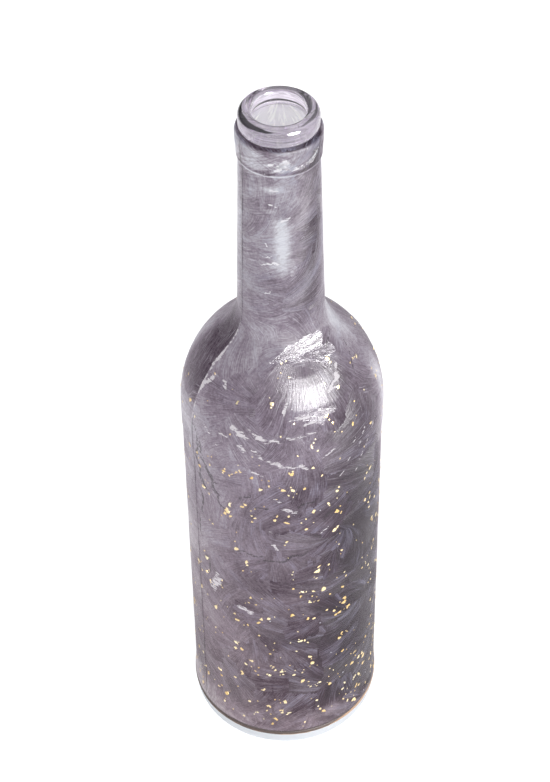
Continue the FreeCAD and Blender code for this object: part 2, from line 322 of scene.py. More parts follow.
tree.links.new(haze, shader.inputs["Roughness"])
tree.links.new(bump.outputs[0], shader.inputs["Normal"])
shader.inputs["IOR"].default_value = 1.5
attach(glass, "root")
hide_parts("glass_bottle")

# The lacquer skin: several thin coats of purple-grey crystal lacquer brushed on the glass from the heel to
# the groove under the lip. As it dried it grew into fans of fine strokes, and it has worn through to the pale
# first coat on the raised shoulder and in a few scrapes. The two mould seams of the glass show through it.
# Pale marks like scrapes on the collar, the front of the neck and just under the shoulder's highlight are
# painted glints.
SKIN = 0.3
SKIN_LOW = 10.5
SKIN_SPACING = 0.66
SKIN_INNER_SPACING = 2.4
SKIN_AROUND = 340
SKIN_BURIED = 0.03
SEAM_TURN = math.radians(-61.0)
SEAM_HALF_WIDTH = 0.45
SEAM_STAND = 0.2
SEAM_TOP = COLLAR_BOTTOM - 4.0
SEAM_FADE = 3.0
SEAM_REACH = 0.022
SEAM_COLUMNS = 9
BRUSH_WAVE = 0.02
BRUSH_WAVE_TOP = COLLAR_BOTTOM - 1
BRUSH_WAVE_FADE = 6.0
# Shallow waves that the brush left: how many go round, how many go up a millimetre, and the phase.
BRUSH_WAVES = [(3, 0.021, 0.4), (5, 0.043, 2.1), (9, 0.032, 4.0), (14, 0.067, 1.2)]


def skin_section(stand, spacing):
    """Half section of the glass moved out by stand, from the lower edge of the skin to the groove."""
    corners = outline([
        (HEEL_RADIUS + stand, SKIN_LOW, 0),
        (HEEL_RADIUS + stand, HEEL_TOP, HEEL_EASE),
        (PANEL_RADIUS + stand, HEEL_TOP + HEEL_STEP, HEEL_EASE),
        (PANEL_RADIUS + stand, SHOULDER_RING_BOTTOM - SHOULDER_RING_STEP, SHOULDER_RING_EASE),
        (SHOULDER_RING_RADIUS + stand, SHOULDER_RING_BOTTOM, SHOULDER_RING_EASE),
        *shoulder_corners(SHOULDER_RING_RADIUS + stand, SHOULDER_ARC + stand, NECK_BLEND - stand,
                          NECK_TOP_RADIUS + stand, COLLAR_BOTTOM, NECK_TAPER),
        (NECK_TOP_RADIUS + stand, COLLAR_BOTTOM - stand, 0.2),
        (NECK_TOP_RADIUS + stand + COLLAR_STEP, COLLAR_BOTTOM - stand, 0.25),
        (NECK_TOP_RADIUS + stand + COLLAR_BULGE, COLLAR_BOTTOM + COLLAR_BULGE_RISE, COLLAR_EASE),
        (NECK_TOP_RADIUS + stand + COLLAR_BULGE, COLLAR_TOP + stand, 1.3),
        (GROOVE_RADIUS + stand, COLLAR_TOP + stand, 0.2),
        (GROOVE_RADIUS + stand, (COLLAR_TOP + LIP_BOTTOM) / 2, 0),
    ])
    steps = np.hypot(*np.diff(corners, axis=0).T)
    along = np.concatenate([[0], np.cumsum(steps)])
    even = np.linspace(0, along[-1], round(along[-1] / spacing))
    return np.stack([np.interp(even, along, corners[:, i]) for i in (0, 1)], axis=1)


def facing(section):
    """The way a half section faces at each of its points."""
    along = np.gradient(section, axis=0)
    along /= np.linalg.norm(along, axis=1, keepdims=True)
    return np.stack([along[:, 1], -along[:, 0]], axis=1)


def apart(turns, turn):
    """How far turns are from one turn, the short way round."""
    return (turns - turn + math.pi) % (2 * math.pi) - math.pi


def ease(values, low, high):
    """A smooth step from 0 at low to 1 at high."""
    share = np.clip((values - low) / (high - low), 0, 1)
    return share * share * (3 - 2 * share)


seam_columns = np.linspace(-SEAM_REACH, SEAM_REACH, SEAM_COLUMNS)
turns = np.concatenate([np.linspace(-math.pi, math.pi, SKIN_AROUND, False),
                        SEAM_TURN + seam_columns, SEAM_TURN + math.pi + seam_columns])
turns = np.unique(np.round(apart(turns, 0), 6))
outer = skin_section(SKIN, SKIN_SPACING)
outer_faces = facing(outer)
height = outer[:, 1]
relief = np.zeros((len(outer), len(turns)))
for seam in (SEAM_TURN, SEAM_TURN + math.pi):
    across = apart(turns, seam)[None] * outer[:, :1]
    stops = np.clip((SEAM_TOP - height) / SEAM_FADE, 0, 1)[:, None]
    relief += SEAM_STAND * stops * np.exp(-(across / SEAM_HALF_WIDTH) ** 2)
for waves, climb, phase in BRUSH_WAVES:
    relief += BRUSH_WAVE * np.sin(waves * turns[None] + climb * 2 * math.pi * height[:, None] + phase)
from_edges = np.minimum(height - SKIN_LOW, BRUSH_WAVE_TOP - height)
relief *= np.clip(from_edges / BRUSH_WAVE_FADE, 0, 1)[:, None]
proud = outer[:, None] + outer_faces[:, None] * relief[:, :, None]
inner = skin_section(-SKIN_BURIED, SKIN_INNER_SPACING)[::-1]
around = np.stack([np.sin(turns), -np.cos(turns)], axis=1)
outer_grid = np.concatenate([proud[:, :, :1] * around[None], proud[:, :, 1:]], axis=2) * MM
skin_grid = np.concatenate([outer_grid, rings(inner, turns)])
lacquer = skin_over("frosted_lacquer", skin_grid, True)
mesh = lacquer.data
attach(lacquer, "root")
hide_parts("frosted_lacquer_skin")


def surface(turn, level):
    """Place in millimetres and the outward, rightward and upward ways on the skin at a turn and height."""
    row = int(np.searchsorted(height, level).clip(0, len(height) - 1))
    column = int(np.searchsorted(turns, turn).clip(0, len(turns) - 1))
    radius = np.interp(level, height, outer[:, 0])
    out = np.array([np.interp(level, height, outer_faces[:, i]) for i in (0, 1)])
    side = np.array([math.sin(turn), -math.cos(turn), 0])
    normal = side * out[0] + np.array([0, 0, out[1]])
    normal /= np.linalg.norm(normal)
    spot = side * radius + np.array([0, 0, level]) + normal * relief[row, column]
    right = np.array([math.cos(turn), math.sin(turn), 0])
    return spot, normal, right, np.cross(normal, right)


# Crystal fans: a spaced scatter of seats, each with strokes that spread from a root behind it. On the neck
# they follow the brush. A face of the skin belongs to the fan that is nearest by the fan's own measure.
FAN_COUNT = 210
FAN_ROOM = 7.0
FAN_LONGER_THAN_WIDE = 1.7
FAN_FORWARD = 5.0
FAN_ROOT_BACK = 14.0
NECK_START = 214.0
BRUSH_SLANT = 0.4
BRUSH_SLANT_SPREAD = 0.35
FAN_CURL_SPREAD = 15
FAN_TRIES = 20000
FACES_AT_ONCE = 6000
# Fans that catch the window on the front shoulder and collar: turn and height of the root, lean, half spread,
# start and end of the strokes, how far they lie towards the window, tone, curl and gloss.
BRIGHT_FANS = [
    (22, 213.0, -89, 48, 11, 33, 0.0, 0.6, 0, 0.0),
    (-13, 204.4, 28, 16, 0, 18.5, 0.97, 0.5, 2, 1.0),
    (18, 205.6, -10, 22, 0, 13, 0.7, 0.2, -6, 0.8),
    (4, 189.5, -6, 14, 3, 15, 0.4, 0.3, 8, 0.3),
    (-8, 286.5, 10, 30, 0, 5.5, 1.0, 0.6, 0, 1.0),
    (24, 284.2, 16, 12, 0, 7, 1.0, 0.3, 0, 1.0),
    (60, 289.0, 190, 30, 0, 3, 1.0, 0.3, 0, 1.0),
]
FACET_TURN = math.radians(22.0)
FACET_RISE = math.radians(35.4)
fan_draw = np.random.default_rng(11)


def grow_fans():
    """Crystal fans in a spaced scatter: seat, outward way, lean, tilt, tone, curl and size of each."""
    share = np.cumsum(outer[:, 0])
    share /= share[-1]
    fans = []
    for attempt in range(FAN_TRIES):
        if len(fans) == FAN_COUNT:
            break
        turn = fan_draw.uniform(-math.pi, math.pi)
        spot, normal, right, up = surface(turn, np.interp(fan_draw.random(), share, height))
        room = FAN_ROOM * fan_draw.uniform(0.7, 1.8)
        if any(np.linalg.norm(fan[0] - spot) < room for fan in fans):
            continue
        angle = fan_draw.uniform(0, 2 * math.pi)
        if spot[2] > NECK_START:
            angle = fan_draw.normal(BRUSH_SLANT, BRUSH_SLANT_SPREAD)
        lean = right * math.cos(angle) + up * math.sin(angle)
        tilt = right * fan_draw.normal(0, 0.06)
        tilt = tilt + up * (fan_draw.normal(0, 0.05) + 0.08 * (fan_draw.random() < 0.2))
        tone = fan_draw.uniform(-1, 1)
        curl = fan_draw.normal(0, FAN_CURL_SPREAD)
        fans.append((spot, normal, lean, tilt, tone, curl, fan_draw.uniform(0.8, 1.6)))
    return [np.array(column) for column in zip(*fans)]


spots, normals, leans, tilts, tones, curls, sizes = grow_fans()
sides = np.cross(normals, leans)
centres = np.empty(len(mesh.polygons) * 3)
mesh.polygons.foreach_get("center", centres)
centres = centres.reshape(-1, 3) / MM
ragged = 1.2 * np.sin(centres * 0.9) + 0.8 * np.sin(centres[:, [1, 2, 0]] * 1.7 + 1.0)
owner = np.empty(len(centres), dtype=int)
for first in range(0, len(centres), FACES_AT_ONCE):
    span = slice(first, first + FACES_AT_ONCE)
    away = (centres[span] + ragged[span])[:, None] - spots[None]
    ahead = np.einsum("fnk,nk->fn", away, leans) - FAN_FORWARD * sizes
    sideways = np.einsum("fnk,nk->fn", away, sides)
    depth = np.einsum("fnk,nk->fn", away, normals)
    far = (ahead / FAN_LONGER_THAN_WIDE) ** 2 + sideways ** 2 + depth ** 2
    owner[span] = np.argmin(far / sizes ** 2, axis=1)
face_root = (spots - leans * (FAN_ROOT_BACK * sizes)[:, None])[owner]
face_lean, face_tilt, face_tone, face_curl = leans[owner], tilts[owner], tones[owner], curls[owner]
face_gloss = np.zeros(len(centres))
facet = np.array([
    math.sin(FACET_TURN) * math.cos(FACET_RISE),
    -math.cos(FACET_TURN) * math.cos(FACET_RISE),
    math.sin(FACET_RISE),
])
face_ways = np.empty(len(mesh.polygons) * 3)
mesh.polygons.foreach_get("normal", face_ways)
face_ways = face_ways.reshape(-1, 3)
for turn, level, lean, half, begins, ends, aim, tone, curl, gloss in BRIGHT_FANS:
    spot, normal, right, up = surface(math.radians(turn), level)
    ahead = right * math.cos(math.radians(lean)) + up * math.sin(math.radians(lean))
    away = centres + 0.25 * ragged - spot
    forward, sideways, depth = away @ ahead, away @ np.cross(normal, ahead), away @ normal
    reach = np.hypot(forward, sideways)
    swing = np.arctan2(sideways, forward)
    within = (np.abs(swing) < math.radians(half)) & (depth > -25) & (reach > begins)
    within &= reach < ends * (1 + 0.12 * np.sin(9 * swing))
    face_root[within], face_lean[within] = spot, ahead
    face_tilt[within] = aim * (facet - face_ways[within])
    face_tone[within], face_curl[within], face_gloss[within] = tone, curl, gloss
inside = np.repeat(np.arange(len(skin_grid)) >= len(outer) - 1, len(turns))


def keep(name, values, domain):
    """A value kept on each face or point of the skin for its material."""
    vector = values.ndim == 2
    kept = mesh.attributes.new(name, "FLOAT_VECTOR" if vector else "FLOAT", domain)
    kept.data.foreach_set("vector" if vector else "value", values.astype(np.float32).ravel())


keep("fan_root", face_root * MM, "FACE")
keep("fan_lean", face_lean, "FACE")
keep("fan_tilt", face_tilt, "FACE")
keep("fan_tone", face_tone, "FACE")
keep("fan_curl", face_curl, "FACE")
keep("fan_gloss", face_gloss, "FACE")
keep("inside", inside.astype(float), "FACE")

# Scrapes down to the pale first coat, and painted glints drawn the same way on the collar, the front of the
# neck and just under the shoulder's highlight: turn in degrees, height, length, width and slope in degrees.
SCRAPES_AND_GLINTS = [
    (-28, 181.8, 6, 2.8, -12), (-22, 180.4, 5, 1.8, -10), (-17, 182.4, 6, 1.5, -26),
    (-10.5, 180.4, 6, 2.0, -10), (-3, 180.4, 5, 1.1, -4), (4, 181.4, 4, 1.0, 0), (11, 182, 4, 1.0, 4),
    (17, 182.4, 4, 0.9, 6), (-23, 175.2, 5, 2.0, -30), (-15, 175, 4, 1.7, -25),
    (-12, 172.5, 5, 1.2, -22), (-7, 171, 3.5, 1.1, -20), (-2, 169.8, 4.5, 2.1, -30),
    (4, 168.6, 5, 1.0, -8), (11, 167.8, 4, 1.2, -35), (-8, 287, 4, 2.2, 10), (-2, 285.4, 3, 1.6, 20),
    (24, 285.2, 5, 1.3, 22), (58, 288.6, 2.6, 1.6, 80), (50, 287.0, 2.4, 1.3, 60),
    (12, 168, 5, 0.9, -40), (27, 172, 8, 0.9, 32), (41, 196, 7, 1.7, 30), (46, 198.5, 7, 1.6, 60),
    (37, 194.5, 5, 1.5, 10), (-45, 93, 14, 4.6, 75), (-24, 85, 8, 3.0, -8), (4, 145, 8, 1.8, -16),
    (-4, 151, 5, 0.8, -28), (-14, 164, 7, 0.9, -20), (-5, 125, 5, 1.6, -50), (-6, 133, 6, 0.7, -28),
    (-58, 192, 10, 2.0, 70), (-61, 199, 8, 1.5, 85), (-44, 195, 5, 2.0, -40), (-35, 178, 6, 1.0, 10),
    (-18, 248, 4, 0.9, 8), (-15, 245, 7, 1.0, 22), (-7, 245, 4, 0.6, 12), (-17, 232, 4, 0.8, 35),
    (-19, 253, 2.5, 0.7, -60), (-10, 276, 5, 0.9, 6), (-11, 270, 4, 0.7, -10), (7, 264, 5, 1.0, 30),
    (11, 188.5, 9, 1.3, 6), (18, 186.5, 7, 1.2, 14), (27, 187.5, 8, 1.0, 20), (2, 192, 6, 1.4, 75),
    (44, 172, 4, 0.6, 60), (48, 168, 5, 0.5, 66), (52, 173, 4, 0.6, 58), (55, 166, 5, 0.5, 70),
    (50, 161, 4, 0.5, 62), (40, 164, 3, 0.5, 52), (58, 159, 4, 0.5, 68), (46, 155, 4, 0.5, 56),
    (61, 171, 4, 0.5, 72), (35, 158, 4, 0.5, 48),
    (24, 131, 5, 0.7, 40), (-47, 176, 5, 0.8, -30), (-50, 171, 4, 0.7, -50), (-40, 172, 3, 0.7, -15),
    (150, 120, 14, 3.0, 20), (110, 175, 12, 1.6, 5), (-130, 150, 12, 2.6, -30), (170, 182, 16, 1.4, 3),
]
# Cracks with dirt in them, given as the scrapes are.
CRACKS = [
    (-48, 155, 16, 1.3, -38), (-44, 150, 14, 1.3, -55), (-52, 146, 10, 1.2, -30), (-40, 143, 11, 1.2, -48),
    (-57, 160, 14, 1.2, -80), (-53, 164, 10, 1.1, -62), (-55, 150, 12, 1.1, -72), (-54, 133, 16, 1.1, -82),
    (-22, 150, 8, 0.9, 55), (-12, 146, 7, 0.9, 28), (-20, 119, 12, 1.0, 8), (-6, 117, 14, 1.0, 14),
    (8, 120, 10, 0.9, 24), (-56, 168, 12, 0.9, -60), (-58, 120, 16, 0.9, -78), (-50, 100, 12, 0.9, -70),
    (14, 148, 10, 1.0, 30), (30, 140, 12, 1.0, 40), (66, 198, 16, 0.5, 62), (58, 206, 12, 0.5, 40),
    (-160, 140, 18, 1.0, -40), (140, 150, 16, 1.0, 35), (-110, 110, 16, 1.0, -60),
]
vertices = np.empty(len(mesh.vertices) * 3)
mesh.vertices.foreach_get("co", vertices)
vertices = vertices.reshape(-1, 3) / MM
turn_at = np.arctan2(vertices[:, 0], -vertices[:, 1])
level_at = vertices[:, 2]


def drawn(lines, wander):
    """How strongly each point of the skin lies under a list of short lines."""
    strength = np.zeros(len(vertices))
    for turn, level, length, width, slope in lines:
        spot, normal, right, up = surface(math.radians(turn), level)
        away = vertices - spot
        lean = math.radians(slope)
        along = away @ (right * math.cos(lean) + up * math.sin(lean))
        across = away @ (up * math.cos(lean) - right * math.sin(lean))
        across += wander * width * np.sin(along * 7 / length)
        strength += np.exp(-(along / length * 2) ** 4 - (across / width * 2) ** 2 - (away @ normal / 6) ** 2)
    return strength


keep("cracked", drawn(CRACKS, 1.0), "POINT")

# How thick and how lively the coats lie, and the painted light and shade that ride on the same value: paler
# and duller on the left and up the neck, dark and streaked on the right and towards the foot, with one dark
# patch on the left shoulder behind the seam.
# Patches, partly coat tone and partly painted light and shade: turn and half width in radians, height, half
# height and how much paler each is painted there.
TONE_AND_LIGHT_PATCHES = [
    (-0.45, 0.42, 189, 14, -0.24), (-0.15, 0.55, 214, 7, 0.25), (0.75, 0.25, 197, 8, -0.25),
    (1.35, 0.25, 167, 13, 0.40), (0.30, 0.35, 170, 11, 0.18), (0.10, 0.30, 125, 30, 0.08),
    (-1.35, 0.25, 35, 25, -0.20), (0.65, 0.30, 20, 10, 0.25), (0.0, 0.5, 288, 5, 0.25),
    (1.0, 0.3, 288, 6, -0.72), (0.1, 0.4, 276, 6, 0.14), (1.0, 0.3, 274, 9, -0.22),
    (0.5, 0.4, 226, 7, -0.18), (0.0, 0.8, 237, 6, -0.09), (-0.3, 0.3, 178, 7, -0.12),
    (-0.4, 0.35, 205, 6, 0.10), (0.12, 0.25, 88, 12, 0.13), (-0.8, 0.25, 290, 5, -0.2),
    (-0.2, 0.28, 276.3, 1.3, 0.35), (-0.25, 0.18, 267.5, 0.9, 0.30), (-1.0, 0.3, 278, 4, -0.15),
    (0.45, 0.2, 271, 2, 0.15), (1.05, 0.3, 256, 20, -0.14), (-0.90, 0.22, 191, 6, -0.24),
    (1.55, 0.25, 203, 6, 0.35), (0.72, 0.22, 180, 9, -0.22), (0.55, 0.12, 19, 4, 0.30),
    (-0.1, 0.12, 27, 5, 0.25), (0.28, 0.15, 16, 4, 0.2), (1.25, 0.55, 200, 14, 0.24),
    (1.65, 0.4, 211, 7, 0.5),
]
GLOSS_TURN = math.radians(20)
GLOSS_HEIGHT = 195.0
GLOSS_REACH = 17.0


def stripe(turn, half, power=2):
    """A soft upright stripe on the skin: how strongly each of its points lies in it."""
    return np.exp(-(apart(turn_at, turn) / half) ** power)


def hoop(level, half, power=2):
    """A soft level band round the skin: how strongly each of its points lies in it."""
    return np.exp(-((level_at - level) / half) ** power)


def above(low, high):
    """A smooth step up the skin, from 0 at one height to 1 at a higher one."""
    return ease(level_at, low, high)


def below(high, low):
    """A smooth step down the skin, from 0 at one height to 1 at a lower one."""
    return ease(-level_at, -high, -low)


# The whole skin, from left to right and from the neck to the foot: partly the coats' own tone and partly
# painted light and shade, darker on the right and lower right and paler round the shoulder.
up_neck = above(200, 240)
right_side = (0.5 + 0.5 * np.cos(apart(turn_at, 1.15))) ** 1.5
coat_tone_and_light = 0.55 - 0.44 * np.sin(turn_at) * (1 - 0.9 * above(165, 225)) + 0.37 * up_neck
coat_tone_and_light += 0.32 * hoop(190, 24) - 0.17 * below(150, 40) + 0.34 * below(28, 12)
coat_tone_and_light -= 0.08 * ease(-np.sin(turn_at), 0.3, 0.7) * hoop(176, 14)
coat_tone_and_light -= 0.24 * ease(np.sin(turn_at), 0.3, 0.8) * below(170, 120)
# A painted rim reflection: a pale stripe down the right edge of the body.
coat_tone_and_light += 0.8 * stripe(1.47, 0.18) * below(200, 180) * above(40, 90)
# The front of the neck carries a painted highlight beside a darker stripe, its two sides painted rim
# reflections, the collar's lower edge a painted highlight line under a painted shadow; the collar is paler
# and the coat is darker at its top in the groove.
coat_tone_and_light += 0.62 * stripe(0.04, 0.19) * above(236, 250) * below(266, 262)
coat_tone_and_light -= 0.38 * stripe(0.80, 0.34) * above(214, 236) * below(266, 258)
coat_tone_and_light += up_neck * (0.22 * stripe(-1.40, 0.2) + 0.3 * stripe(1.50, 0.17))
coat_tone_and_light += 0.7 * hoop(282.2, 0.45) - 0.35 * hoop(283.4, 0.6)
coat_tone_and_light += 0.17 * above(283, 285) - 0.6 * above(292.1, 292.7)
# Single places, partly coat tone and partly painted light and shade.
for turn, half, level, reach, change in TONE_AND_LIGHT_PATCHES:
    coat_tone_and_light += change * stripe(turn, half) * hoop(level, reach)
coat_tone_and_light += 0.15 * stripe(-0.62, 0.32, 4) * hoop(64, 15, 4)
# A dark patch behind the seam on the left shoulder: partly a darker coat and partly a painted reflection of
# the dim corner.
from_seam = apart(turn_at, SEAM_TURN)
behind_seam = ease(-from_seam, 0.0, 0.03) * (from_seam < 0.2)
dark_patch_and_reflection = behind_seam * stripe(-1.28, 0.42, 4) * hoop(197, 17, 4)
coat_tone_and_light -= 0.56 * dark_patch_and_reflection
lively = (0.25 + 0.75 * right_side * below(190, 120)) * (1 - 0.9 * dark_patch_and_reflection)
lively += 0.7 * above(279, 284) + 0.25 * up_neck
seam_line = np.exp(-(from_seam * np.hypot(vertices[:, 0], vertices[:, 1]) / 0.42) ** 2)
on_shoulder = above(168, 178) * below(217, 210)
from_gloss = np.linalg.norm(vertices - surface(GLOSS_TURN, GLOSS_HEIGHT)[0], axis=1)
keep("coat_tone_and_light", coat_tone_and_light, "POINT")
keep("lively", lively, "POINT")
keep("glossy", np.exp(-(from_gloss / GLOSS_REACH) ** 4), "POINT")
keep("banded", 0.65 * up_neck + 0.6 * above(282.6, 283.4), "POINT")
keep("seam_line", seam_line * (1 - 0.9 * on_shoulder), "POINT")
# Worn marks, together with the painted glints of the list above.
keep("wear_and_light", drawn(SCRAPES_AND_GLINTS, 0.2) + 0.75 * seam_line * on_shoulder, "POINT")

# Shades of the coats from thick to thin, which also carry the painted light and shade, and of what lies in,
# on and under them.
COAT_SHADES = [
    (0.0, (0.026, 0.012, 0.026, 1)),
    (0.245, (0.068, 0.040, 0.066, 1)),
    (0.42, (0.165, 0.126, 0.166, 1)),
    (0.595, (0.298, 0.240, 0.306, 1)),
    (0.7, (0.42, 0.365, 0.435, 1)),
]
COAT_THINNEST = (0.80, 0.78, 0.86, 1)
BLUISH_FEATHERS_AND_HIGHLIGHTS = (0.25, 0.24, 0.355, 1)
FOOT_WARMTH = (1.0, 0.955, 0.885, 1)
NECK_COOLNESS = (0.985, 1.02, 1.0, 1)
HAIR_GLINTS = (0.74, 0.71, 0.79, 1)
DIRT = (0.035, 0.028, 0.034, 1)
BARE_BODY_AND_GLINTS = (0.78, 0.73, 0.78, 1)
BARE_NECK_AND_GLINTS = (0.92, 0.90, 0.95, 1)
PALE_DOTS = (0.62, 0.60, 0.68, 1)
SHADOW_ABOVE_GILT = (0.075, 0.050, 0.042, 1)
FIRST_COAT_THICK = (0.62, 0.55, 0.72, 1)
FIRST_COAT_THIN = (0.97, 0.91, 1.0, 1)
FIRST_STROKES_FROM = 295.0
tree, shader = material(lacquer, "frosted_crystal_lacquer")
place = put(tree, "TexCoord").outputs["Object"]
rightward, backward, upward = put(tree, "SeparateXYZ", {0: place}).outputs
faces_out = put(tree, "NewGeometry").outputs["Normal"]


def kept_value(name, output="Fac"):
    """A value kept on the skin."""
    return put(tree, "Attribute", attribute_name=name).outputs[output]


def vectors(operation, *values, output=0):
    """The output of a Vector Math node."""
    return put(tree, "VectorMath", dict(enumerate(values)), operation=operation).outputs[output]


def along_strokes(sweep, length, seed):
    """A place in a fan's own measure: across its strokes, along them, and apart from other fans."""
    return put(tree, "CombineXYZ", {0: sums(tree, "MULTIPLY", swept, sweep),
                                    1: sums(tree, "MULTIPLY", reach, length),
                                    2: sums(tree, "MULTIPLY", tone, seed)}).outputs[0]


lean = kept_value("fan_lean", "Vector")
tone = kept_value("fan_tone")
coat_tone_and_light_here = kept_value("coat_tone_and_light")
lively_here = kept_value("lively")
away = vectors("SUBTRACT", place, kept_value("fan_root", "Vector"))
side = vectors("CROSS_PRODUCT", faces_out, lean)
ahead = vectors("DOT_PRODUCT", away, lean, output="Value")
sideways = vectors("DOT_PRODUCT", away, side, output="Value")
reach = vectors("LENGTH", away, output="Value")
swept = sums(tree, "MULTIPLY_ADD", kept_value("fan_curl"), reach, sums(tree, "ARCTAN2", sideways, ahead))
sweep = grain(tree, along_strokes(4.5, 42.0, 57.0), 1.0, 3.0, 0.5)
stroke = grain(tree, along_strokes(45.0, 80.0, 33.0), 1.0, 3.0, 0.6)
hair = grain(tree, along_strokes(95.0, 140.0, 91.0), 1.0, 3.0, 0.65)
cloud = grain(tree, place, 38.0, 5.0, 0.62)
swirls = {"Vector": place, "Scale": 26.0, "Detail": 4.0, "Roughness": 0.55, "Distortion": 1.6}
swirl = put(tree, "TexNoise", swirls).outputs[0]
speck = grain(tree, place, 1100.0, 2.0, 0.6)
thread = grain(tree, along_strokes(170.0, 210.0, 17.0), 1.0, 2.0, 0.6)
glint = spread(tree, thread, 0.58, 0.72)
mottle = grain(tree, place, 330.0, 3.0, 0.65)
slant = sums(tree, "MULTIPLY_ADD", rightward, -0.38, upward)
round_way = put(tree, "CombineXYZ", {0: sums(tree, "MULTIPLY", rightward, 150.0),
                                     1: sums(tree, "MULTIPLY", backward, 150.0),
                                     2: sums(tree, "MULTIPLY", slant, -1350.0)}).outputs[0]
round_stroke = grain(tree, round_way, 1.0, 4.0, 0.62)
banding = sums(tree, "MULTIPLY", kept_value("banded"), spread(tree, cloud, 0.35, 0.65, 0.3, 1.5))

# Each pattern makes the coats thinner or thicker by its own strength.
level = sums(tree, "MULTIPLY_ADD", tone, 0.02, coat_tone_and_light_here)
for pattern, strength in (
        (sweep, sums(tree, "MULTIPLY_ADD", lively_here, 1.10, 0.06)),
        (stroke, sums(tree, "MULTIPLY_ADD", lively_here, 0.20, 0.14)),
        (hair, 0.62),
        (thread, 0.45),
        (mottle, spread(tree, lively_here, 0.2, 0.9, 0.38, 0.22)),
        (cloud, 0.34),
        (speck, 0.45),
        (round_stroke, banding),
        (swirl, sums(tree, "MULTIPLY_ADD", lively_here, 0.9, 0.1))):
    level = sums(tree, "MULTIPLY_ADD", sums(tree, "SUBTRACT", pattern, 0.5), strength, level)
colours = put(tree, "ValToRGB", {0: sums(tree, "MULTIPLY", level, 0.7)})
for share, shade in COAT_SHADES:
    colours.color_ramp.elements.new(share).color = shade
colours.color_ramp.elements.remove(colours.color_ramp.elements[0])
colours.color_ramp.elements[-1].color = COAT_THINNEST
# Bluish feathers on the lively parts: partly the coat's pattern and partly painted highlights.
feather_and_highlight = spread(tree, sums(tree, "MULTIPLY", sweep, hair), 0.26, 0.40, 0.0, 0.8)
colour = blend(tree, sums(tree, "MULTIPLY", feather_and_highlight, lively_here), colours.outputs[0], BLUISH_FEATHERS_AND_HIGHLIGHTS)
colour = blend(tree, spread(tree, upward, 0.16, 0.03), colour, FOOT_WARMTH, "MULTIPLY")
colour = blend(tree, spread(tree, upward, 0.19, 0.23), colour, NECK_COOLNESS, "MULTIPLY")
# Painted glints: pale hairs along the strokes on the shoulder and neck.
hair_glints_here = spread(tree, upward, 0.14, 0.17, 0.0, 0.38)
colour = blend(tree, sums(tree, "MULTIPLY", spread(tree, hair, 0.56, 0.70), hair_glints_here), colour, HAIR_GLINTS)
broken = spread(tree, grain(tree, place, 700.0, 3.0, 0.6), 0.34, 0.52)
crack = spread(tree, sums(tree, "MULTIPLY", kept_value("cracked"), broken), 0.25, 0.5, 0.0, 0.65)
caught = spread(tree, grain(tree, place, 120.0, 3.0), 0.35, 0.6, 0.225, 0.75)
dirt = sums(tree, "MAXIMUM", crack, sums(tree, "MULTIPLY", kept_value("seam_line"), caught))
colour = blend(tree, dirt, colour, DIRT)
stretched = put(tree, "Mapping", {"Vector": place, "Scale": (430.0, 430.0, 1250.0)}).outputs[0]
torn = grain(tree, stretched, 1.0, 3.0, 0.65)
# Scrapes show the pale first coat; the same marks on the collar, neck front and under the shoulder's
# highlight are painted glints.
scrape_and_glint = sums(tree, "MULTIPLY", kept_value("wear_and_light"), spread(tree, torn, 0.36, 0.60))
scrape_and_glint = spread(tree, scrape_and_glint, 0.3, 0.45)
bare_and_glint = blend(tree, spread(tree, upward, 0.205, 0.22), BARE_BODY_AND_GLINTS, BARE_NECK_AND_GLINTS)
colour = blend(tree, scrape_and_glint, colour, bare_and_glint)
dots = put(tree, "TexVoronoi", {"Vector": place, "Scale": 210.0})
dot = spread(tree, dots.outputs["Distance"], 0.055, 0.085, 1.0, 0.0)
rare = spread(tree, put(tree, "SeparateColor", {0: dots.outputs["Color"]}).outputs[0], 0.78, 0.80)
dot = sums(tree, "MULTIPLY", sums(tree, "MULTIPLY", dot, rare), spread(tree, lively_here, 0.3, 0.6))
colour = blend(tree, dot, colour, PALE_DOTS)
# A painted shadow along the lower edge of the coat, just above the gilt line.
shaded_above_gilt = spread(tree, sums(tree, "MULTIPLY_ADD", mottle, 0.0008, upward), 0.0119, 0.0114)
colour = blend(tree, shaded_above_gilt, colour, SHADOW_ABOVE_GILT)
from_inside = kept_value("inside")
from_top = sums(tree, "SUBTRACT", FIRST_STROKES_FROM * MM, upward)
ray = put(tree, "CombineXYZ", {0: sums(tree, "ARCTAN2", rightward, from_top),
                               1: sums(tree, "MULTIPLY", from_top, 30.0)}).outputs[0]
brushed = spread(tree, grain(tree, ray, 3.4, 4.0, 0.65), 0.50, 0.58)
first_coat = blend(tree, brushed, FIRST_COAT_THICK, FIRST_COAT_THIN)
colour = blend(tree, from_inside, colour, first_coat)
tree.links.new(colour, shader.inputs["Base Color"])
tree.links.new(from_inside, shader.inputs["Subsurface Weight"])
shader.inputs["Subsurface Radius"].default_value = (1.0, 1.0, 1.0)
shader.inputs["Subsurface Scale"].default_value = 0.006
rough = spread(tree, stroke, 0.3, 0.7, 0.48, 0.34)
for pattern, strength in ((kept_value("fan_gloss"), -0.16), (kept_value("glossy"), -0.14), (scrape_and_glint, 0.3)):
    rough = sums(tree, "MULTIPLY_ADD", pattern, strength, rough)
tree.links.new(rough, shader.inputs["Roughness"])
shader.inputs["IOR"].default_value = 1.42
shader.inputs["Specular IOR Level"].default_value = 0.33
shader.inputs["Sheen Weight"].default_value = 0.35
shader.inputs["Sheen Tint"].default_value = (0.92, 0.86, 0.96, 1)
shader.inputs["Sheen Roughness"].default_value = 0.25
shader.inputs["Anisotropic"].default_value = 0.7
grown = vectors("CROSS_PRODUCT", faces_out, vectors("NORMALIZE", away))
tree.links.new(grown, shader.inputs["Tangent"])
lie = {0: kept_value("fan_tilt", "Vector"), 3: spread(tree, stroke, 0.36, 0.6, 0.6, 1.05)}
laid = put(tree, "VectorMath", lie, operation="SCALE").outputs[0]
